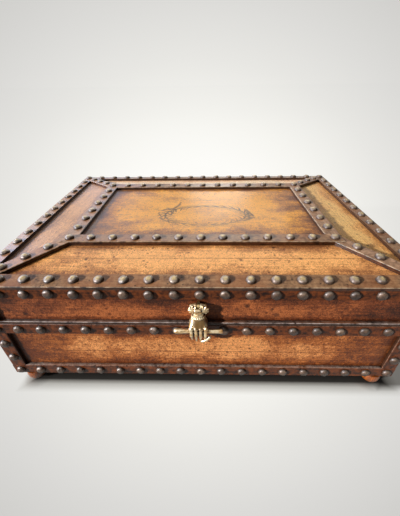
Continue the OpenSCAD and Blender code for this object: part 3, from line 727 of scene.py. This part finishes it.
def hammered_nails(name, node_name, body):
    dice = random.Random(name)
    points, faces, rims, tones = [], [], [], []
    for middle_point, way in found[node_name]:
        lean = Vector([dice.uniform(-1, 1) for _ in range(3)]) * 0.09
        axis = (way + lean).normalized()
        side = axis.orthogonal().normalized()
        cross = axis.cross(side)
        slip = dice.uniform(0.0, 0.35)
        turn_by = dice.uniform(0, math.tau)
        origin = middle_point + (side * math.cos(turn_by) + cross * math.sin(turn_by)) * slip * MM
        size = dice.uniform(0.98, 1.04) * HEAD_RADIUS
        tall, tone_now, phase = dice.uniform(0.86, 0.98), dice.random(), dice.uniform(0, 50)
        first = len(points)
        points.append(origin + axis * HEAD_HEIGHT * tall * MM)
        rims.append(0.0)
        tones.append(tone_now)
        for share, height in NAIL_PROFILE:
            for k in range(AROUND):
                turned = math.tau * k / AROUND
                spread = share * 2.2
                dent = noise.noise(Vector((spread * math.cos(turned), spread * math.sin(turned), phase)))
                radius = size * share * (1 + 0.05 * dent * share)
                up = height * tall + 0.5 * dent * (height > 0)
                points.append(origin + (side * math.cos(turned) + cross * math.sin(turned)) * radius * MM
                              + axis * up * MM)
                rims.append(share if height > 0 else 1.1)
                tones.append(tone_now)
        for k in range(AROUND):
            after = (k + 1) % AROUND
            faces.append((first, first + 1 + k, first + 1 + after))
            for ring in range(len(NAIL_PROFILE) - 1):
                a, b = first + 1 + ring * AROUND, first + 1 + (ring + 1) * AROUND
                faces.append((a + k, b + k, b + after, a + after))
    piece = new_piece(name, points, faces, aged, smooth=True, rim=rims, tone=tones)
    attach(piece, body)
    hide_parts(node_name)
    print(name, "made:", len(points), "points")


hammered_nails("hammered_nails_box", "base_nails", "base")
hammered_nails("hammered_nails_lid", "lid_nails", "lid")

# %% [markdown]
# ## Cast brass clasp
# The clasp is a small casting of a closed hand in a ruffled cuff. The mould is built the way a sculptor
# roughs out wax: tapered limbs and balls are pushed together, one close skin is laid over the lot with a
# voxel remesh, and the skin is smoothed until the parts flow into each other. Then the drill takes out
# the bores and the slot for the keeper. The measures start from the closure pin's middle.

# %% Measures of the clasp
pin_low, pin_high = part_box("closure_pin")
plate_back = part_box("clasp_plate")[1].y
knuckle_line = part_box("clasp_hinge_pin")
clasp_x = (knuckle_line[0].x + knuckle_line[1].x) / 2
pin_y, pin_z = (pin_low.y + pin_high.y) / 2, (pin_low.z + pin_high.z) / 2
hinge_y = (knuckle_line[0].y + knuckle_line[1].y) / 2
hinge_up = ((knuckle_line[0].z + knuckle_line[1].z) / 2 - pin_z) / MM
hinge_out = (pin_y - hinge_y) / MM
print("closure pin at", round(pin_y, 4), round(pin_z, 4), "clasp hinge", round(hinge_up, 2), "mm above")

# %% Cast brass, polished on the heights
cast, add = new_material("cast_brass_polished")
texture = add("TexCoord").outputs
place = texture["Object"]
hollow = add("Attribute", attribute_name="hollow").outputs["Fac"]
skin_noise = add("TexNoise", (place, 650.0, 3.0, 0.6))
wide = add("TexNoise", (place, 190.0, 2.0))
metal_colour = add("ValToRGB", (wide,), stops=[(0.35, "#cc9e62"), (0.65, "#fbe6bb")])
# dirt and painted shade in the crevices and between the fingers: a point that sees little of its
# surroundings is one
crevice_shade = add("AmbientOcclusion", {"Distance": 0.004}, samples=8).outputs["AO"]
crevice_shade = add("MapRange", (crevice_shade, 0.85, 0.42, 0.0, 0.95))
film = add("Math MULTIPLY_ADD", (skin_noise, 0.4, add("Math ADD", (hollow, -0.25))))
film = add("Math ADD", (film, crevice_shade))
grime_and_shade = add("MapRange", (film, 0.4, 0.75))
# a brown patch on the back of the hand, where the lacquer has gone
patch_at = (clasp_x + 1.0 * MM, pin_y, pin_z + 12.5 * MM)
off = add("VectorMath SUBTRACT", (place, patch_at))
off = add("VectorMath LENGTH", (add("VectorMath MULTIPLY", (off, (1.0, 0.0, 1.1))),))
off = add("Math MULTIPLY_ADD", (skin_noise, -0.003, off))
bare = add("MapRange", (off, 0.0063, 0.0036, 0.0, 0.95))
# painted shade on the undersides, as on the nails
look = add("SeparateXYZ", (texture["Normal"],)).outputs["Z"]
under = add("MapRange", (look, 0.05, -0.55, 0.0, 0.75))
for share, tint in ((grime_and_shade, "#2c1a0a"), (bare, "#6f5127"), (under, "#5a3d1c")):
    metal_colour = add("Mix RGBA", (share, metal_colour, tint))
metal = add("MapRange", (bare, 0.0, 1.0, 0.66, 0.15))
gloss = add("MapRange", (film, 0.3, 0.8, 0.3, 0.55))
bump = add("Bump", {"Height": skin_noise, "Strength": 0.4, "Distance": 0.0003})
brass = add("BsdfPrincipled", {
    "Base Color": metal_colour, "Metallic": metal, "Roughness": gloss, "Coat Weight": 0.22,
    "Coat Roughness": 0.25, "Normal": bump})
add("OutputMaterial", (brass,))
print("metal of the hand ready")


# %% Tools of the wax modeller
def hand_point(across, outwards, up):
    """A point given in mm from the closure pin's middle."""
    return Vector((clasp_x + across * MM, pin_y - outwards * MM, pin_z + up * MM))


def press_on(work, part):
    """Joins a small form to the wax. Made by itself first, it stays quick, however much wax there is."""
    spare = bpy.data.meshes.new("pressed")
    part.to_mesh(spare)
    part.free()
    work.from_mesh(spare)
    bpy.data.meshes.remove(spare)


def limb(work, start, end, thick, thin):
    """A tapered limb with round ends."""
    a, b = hand_point(*start), hand_point(*end)
    way = b - a
    part = bmesh.new()
    if way.length > 1e-6:
        turned = way.to_track_quat("Z", "Y").to_matrix().to_4x4()
        bmesh.ops.create_cone(part, cap_ends=True, segments=18, radius1=thick * MM, radius2=thin * MM,
                              depth=way.length, matrix=Matrix.Translation((a + b) / 2) @ turned)
    for point, radius in ((a, thick), (b, thin)):
        bmesh.ops.create_uvsphere(part, u_segments=18, v_segments=10, radius=radius * MM,
                                  matrix=Matrix.Translation(point))
    press_on(work, part)


def lump(work, balls):
    """One smooth form that wraps several balls: (across, outwards, up, radius)."""
    wrap = bmesh.new()
    for across, outwards, up, radius in balls:
        bmesh.ops.create_uvsphere(wrap, u_segments=18, v_segments=10, radius=radius * MM,
                                  matrix=Matrix.Translation(hand_point(across, outwards, up)))
    done = bmesh.ops.convex_hull(wrap, input=wrap.verts)
    bmesh.ops.delete(wrap, geom=[v for v in done["geom_interior"] if isinstance(v, bmesh.types.BMVert)],
                     context="VERTS")
    press_on(work, wrap)


# %% Rough out the hand
wax = bmesh.new()
lump(wax, [(-2.7, -4.8, 16.5, 4.0), (2.7, -4.8, 16.5, 4.0), (-7.6, 0.6, 7.4, 2.5), (-2.6, 1.5, 7.6, 2.6),
           (2.6, 1.5, 7.6, 2.6), (7.2, 0.8, 7.4, 2.5), (-7.4, -8.0, 7.6, 2.5), (7.4, -8.0, 7.6, 2.5)])
lump(wax, [(x, out, up, 2.2) for x in (-7.2, 7.2)
           for out, up in ((-4, 6), (-0.8, 5), (-1.6, -8), (-4, -11))])
SHORTER = (3.6, 0.9, 0.0, 1.2)  # than the longest finger, in mm
for k in range(4):
    x = (k - 1.5) * 5.15
    base, bent = (x, 1.4, 5.8), (x * 0.97, 3.2, -3.8 + SHORTER[k] / 4)
    tip = (x * 0.86, 0.9, -15.2 + SHORTER[k])
    limb(wax, base, bent, 2.25, 1.75)
    limb(wax, bent, tip, 1.75, 1.15)
    limb(wax, (x, 2.9, 6.2), (x, 2.9, 6.2), 2.6, 2.6)  # knuckle
    limb(wax, (x * 0.97, 3.0, -3.4), (x * 0.97, 3.0, -3.4), 2.0, 2.0)
    limb(wax, (x * 0.45, -1.4, 15.0), (x * 0.95, 2.6, 7.6), 1.0, 1.5)  # tendon
print("fingers:", 4)

# %% Thumb, wrist and ruffled cuff
limb(wax, (3.8, 2.2, -14.0), (8.2, 2.4, -11.4), 1.5, 1.8)
limb(wax, (8.2, 2.4, -11.4), (11.7, 1.6, -7.8), 1.8, 1.9)
limb(wax, (0, -4.8, 16.0), (0, -4.8, 21.0), 5.6, 5.9)
for k in range(20):  # beaded band of the wrist
    turned = math.tau * k / 20
    limb(wax, *[(6.3 * math.cos(turned), -4.8 + 6.0 * math.sin(turned), 18.8)] * 2, 1.45, 1.45)
for s in (-1, 1):
    limb(wax, (s * 2.4, hinge_out, hinge_up), (s * 7.0, hinge_out, hinge_up), 3.4, 2.4)
    heart = (s * 5.2 + 0.3, -6.2, 26.5)
    limb(wax, heart, heart, 4.4, 4.4)
    for k in range(9):  # ruffles fan out from the heart
        turned = math.tau * (k + 0.5) / 9
        far = (heart[0] + 4.5 * math.cos(turned), heart[1] + 2.0, heart[2] + 4.5 * math.sin(turned))
        if abs(far[0]) < 10.3:
            limb(wax, (heart[0], heart[1] + 4.2, heart[2]), far, 0.7, 1.35)
limb(wax, (-2.5, -1.6, 25.6), (2.5, -1.8, 25.2), 1.7, 1.5)  # folds that join the lobes
limb(wax, (-2.8, -1.4, 28.3), (1.6, -1.3, 28.5), 1.8, 1.5)
print("cuff lobes: 2, with up to 9 ruffles each")

# %% Lay the skin over the wax and smooth it
rough = bpy.data.meshes.new("cast_hand")
wax.to_mesh(rough)
wax.free()
hand = bpy.data.objects.new("cast_hand", rough)
scene.collection.objects.link(hand)
skin = hand.modifiers.new("skin", "REMESH")
skin.mode, skin.voxel_size = "VOXEL", 0.32 * MM
relax = hand.modifiers.new("relax", "SMOOTH")
relax.factor, relax.iterations = 0.5, 2


def cutter(name, low, high=None, radius=None, long=60):
    """A box between two corners, or a drill along x, given in mm from the closure pin."""
    tool = bmesh.new()
    if radius is None:
        a, b = hand_point(*low), hand_point(*high)
        size = Vector([abs(v) for v in b - a])
        bmesh.ops.create_cube(tool, size=1,
                              matrix=Matrix.Translation((a + b) / 2) @ Matrix.Diagonal((*size, 1)))
    else:
        place_at = Matrix.Translation(hand_point(*low)) @ Matrix.Rotation(math.pi / 2, 4, "Y")
        bmesh.ops.create_cone(tool, cap_ends=True, segments=40, radius1=radius * MM, radius2=radius * MM,
                              depth=long * MM, matrix=place_at)
    made = bpy.data.meshes.new(name)
    tool.to_mesh(made)
    tool.free()
    tool_object = bpy.data.objects.new(name, made)
    scene.collection.objects.link(tool_object)
    return tool_object


tools = [cutter("drill_pin", (0, 0, 0), radius=2.6),
         cutter("drill_hinge", (0, hinge_out, hinge_up), radius=1.3),
         cutter("room_knuckle", (0, hinge_out, hinge_up), radius=4.0, long=3.7),
         cutter("room_behind", (-1.85, hinge_out, hinge_up - 4.0), (1.85, -20, hinge_up + 9)),
         cutter("room_above", (-1.85, hinge_out + 2, hinge_up + 0.7), (1.85, -20, hinge_up + 9)),
         cutter("room_before", (-1.85, 15, hinge_up + 1.6), (1.85, hinge_out + 1.5, hinge_up + 9)),
         cutter("slot_keeper", (-3.0, 0.6, -40), (3.0, -20, 2.8)),
         cutter("flat_back", (-30, -10.6, -60), (30, -40, 60)),
         cutter("flat_low", (-30, -6.6, -60), (30, -40, 5.6))]
for tool in tools:
    cut = hand.modifiers.new(tool.name, "BOOLEAN")
    cut.operation, cut.object, cut.solver = "DIFFERENCE", tool, "MANIFOLD"
bpy.context.view_layer.update()
finished = bpy.data.meshes.new_from_object(hand.evaluated_get(bpy.context.evaluated_depsgraph_get()))
for tool in tools:
    bpy.data.objects.remove(tool)
hand.modifiers.clear()
hand.data = finished
finished.name = "cast_hand"
print("cast hand:", len(finished.vertices), "points")

# %% [markdown]
# Old polish stays dark in the hollows of a casting and wears bright on its heights. A heavily smoothed
# copy shows which is which: where it lies outside the real skin, the skin is hollow. The difference is
# kept on the mesh as a value that the metal reads.

# %% Mark the hollows and hang the hand
soft_copy = bmesh.new()
soft_copy.from_mesh(finished)
for _ in range(12):
    bmesh.ops.smooth_vert(soft_copy, verts=soft_copy.verts, factor=0.5, use_axis_x=True, use_axis_y=True,
                          use_axis_z=True)
soft_copy.verts.ensure_lookup_table()
depth = [max(0.0, min(1.0, 0.42 + (soft_copy.verts[v.index].co - v.co).dot(v.normal) / (0.5 * MM)))
         for v in finished.vertices]
soft_copy.free()
finished.attributes.new("hollow", "FLOAT", "POINT").data.foreach_set("value", depth)
finished.polygons.foreach_set("use_smooth", [True] * len(finished.polygons))
finished.materials.clear()
finished.materials.append(cast)
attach(hand, "clasp")
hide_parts("clasp_hand")
print("hollow from", round(min(depth), 2), "to", round(max(depth), 2))

# %% [markdown]
# ## Closure pin
# The pin was filed by hand from a brass rod: a rounded, thicker head on the left, a shaft that isn't
# quite even, and a groove near its blunt end. It is turned as rings round the bore's middle line, and
# the wobble stays inside the bore's clearance where the fist holds it.

# %% File the pin
HEAD_PROFILE = [(0.0, 0.3), (0.35, 1.5), (1.1, 2.3), (2.2, 2.75), (4.0, 2.86), (7.0, 2.84), (9.2, 2.8),
                (9.9, 2.6)]
SHAFT_PROFILE = [(10.6, 2.46), (14.0, 2.44), (20.0, 2.46), (30.0, 2.46), (38.0, 2.45), (44.0, 2.4),
                 (46.0, 2.44), (47.2, 2.38), (47.9, 2.28), (48.6, 2.38), (50.6, 2.42), (51.5, 2.3),
                 (51.95, 1.9), (52.0, 0.2)]
ROUND = 28
points, faces, hollows = [], [], []
for ring, (along_pin, radius) in enumerate(HEAD_PROFILE + SHAFT_PROFILE):
    for k in range(ROUND):
        turned = math.tau * k / ROUND
        file_mark = noise.noise(Vector((along_pin * 0.35, math.cos(turned) * 1.4, math.sin(turned) * 1.4)))
        flat = 1.0 + 0.035 * file_mark
        r = min(radius * flat, 2.5 if along_pin > 10 else 2.9)
        points.append((pin_low.x + along_pin * MM, pin_y + r * math.cos(turned) * MM,
                       pin_z + r * math.sin(turned) * MM))
        hollows.append(0.5 if 47 < along_pin < 48.5 else 0.25)
        if ring:
            a, b, after = (ring - 1) * ROUND, ring * ROUND, (k + 1) % ROUND
            faces.append((a + k, b + k, b + after, a + after))
faces += [tuple(range(ROUND - 1, -1, -1)), tuple(range(len(points) - ROUND, len(points)))]
pin = new_piece("filed_closure_pin", points, faces, cast, smooth=True, hollow=hollows)
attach(pin, "closure")
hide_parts("closure_pin")
print("closure pin:", round((pin_high.x - pin_low.x) / MM, 1), "mm long")

# %% [markdown]
# ## Hinges, plate and keeper
# The clasp's plate and keeper are cut from sheet brass, and the two butt hinges are old drawn brass that
# nobody polishes. Both keep the exact shape of the frame. Screws hold the leaves: each screw is a
# flat head a hair above the leaf, in two halves with the slot between them.

# %% Sheet brass and drawn brass
def old_brass(name, bright_code, dull_code, rough):
    material, add = new_material(name)
    place = add("TexCoord").outputs["Object"]
    lines = add("VectorMath MULTIPLY", (place, (90.0, 1600.0, 1600.0)))
    lines = add("TexNoise", (lines, 1.0, 2.0))
    stains = add("TexNoise", (place, 240.0, 4.0, 0.7))
    tint = add("ValToRGB", (stains,), stops=[(0.32, dull_code), (0.62, bright_code)])
    gloss = add("MapRange", (stains, 0.3, 0.7, rough + 0.2, rough))
    bump = add("Bump", {"Height": lines, "Strength": 0.2, "Distance": 0.0001})
    brass = add("BsdfPrincipled", {"Base Color": tint, "Metallic": 1.0, "Roughness": gloss, "Normal": bump})
    add("OutputMaterial", (brass,))
    return material


hinge_metal = old_brass("drawn_brass_hinges", "#a88a4e", "#5f4a2b", 0.34)
plate_metal = old_brass("sheet_brass_clasp", "#e0c285", "#9a7440", 0.32)
METALS = {"hinge_base_leaves": hinge_metal, "hinge_lid_leaves": hinge_metal, "hinge_pins": hinge_metal,
          "clasp_plate": plate_metal, "keeper": plate_metal, "clasp_hinge_pin": plate_metal}
for name, metal in METALS.items():
    dress(name, metal)
print("sheet and drawn brass on", len(METALS), "pieces")


# %% Screws
HALF_RING = [math.radians(10 + 160 * k / 9) for k in range(10)]
HEAD_STEPS = [(-0.3, 1.0), (0.06, 1.0), (0.12, 0.9)]  # height in mm, share of the radius


def screws(name, spots, body, metal):
    """spots: (middle, direction, radius) of each flat screw head."""
    dice = random.Random(name)
    points, faces = [], []
    for middle_point, way, radius in spots:
        way = Vector(way)
        side = way.orthogonal().normalized()
        cross = way.cross(side)
        turned = dice.uniform(0, math.pi)
        side, cross = (side * math.cos(turned) + cross * math.sin(turned),
                       cross * math.cos(turned) - side * math.sin(turned))
        for half_side in (1, -1):
            first = len(points)
            for up, share in HEAD_STEPS:
                for angle in HALF_RING:
                    points.append(Vector(middle_point) + way * up * MM
                                  + (side * math.cos(angle) + cross * math.sin(angle) * half_side) * radius
                                  * share * MM)
            for ring in (0, 1):
                for k in range(10):
                    a, b = first + ring * 10, first + ring * 10 + 10
                    faces.append((a + k, a + (k + 1) % 10, b + (k + 1) % 10, b + k)[::half_side])
            faces.append(tuple(range(first + 20, first + 30))[::half_side])
    piece = new_piece(name, points, faces, metal)
    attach(piece, body)


SCREW_IN, HINGE_HALF, SCREW_PITCH = 6.5, 25, 17  # mm
leaf_low, leaf_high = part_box("hinge_base_leaves")
leaf_y = leaf_low.y + SCREW_IN * MM
hinge_x = leaf_high.x - HINGE_HALF * MM
spots_x = [s * hinge_x + k * SCREW_PITCH * MM for s in (-1, 1) for k in (-1, 0, 1)]
leaf_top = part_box("base_front_wall")[1].z
lid_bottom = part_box("lid_front_wall")[0].z
keeper_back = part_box("keeper")[1].y
screws("hinge_screws_box", [((x, leaf_y, leaf_top), (0, 0, 1), 2.4) for x in spots_x], "base", hinge_metal)
screws("hinge_screws_lid", [((x, leaf_y, lid_bottom), (0, 0, -1), 2.4) for x in spots_x], "lid",
       hinge_metal)
on_plate = [(clasp_x + s * 5.2 * MM, plate_back - 1.0 * MM, pin_z + 24 * MM) for s in (-1, 1)]
screws("clasp_plate_screws", [(spot, (0, -1, 0), 1.6) for spot in on_plate], "lid", plate_metal)
on_keeper = [(clasp_x + s * 5.0 * MM, keeper_back - 1.0 * MM, leaf_top - 7.75 * MM) for s in (-1, 1)]
screws("keeper_screws", [(spot, (0, -1, 0), 1.2) for spot in on_keeper], "base", plate_metal)
print("screws made: 16")

# %% [markdown]
# ## Finish the frame
# The last lines write the box of the dressed chest, beside the frame's box that was written when the frame
# was loaded.

# %% Sizes
low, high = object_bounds()
print("dressed size", [round(v, 4) for v in high - low])
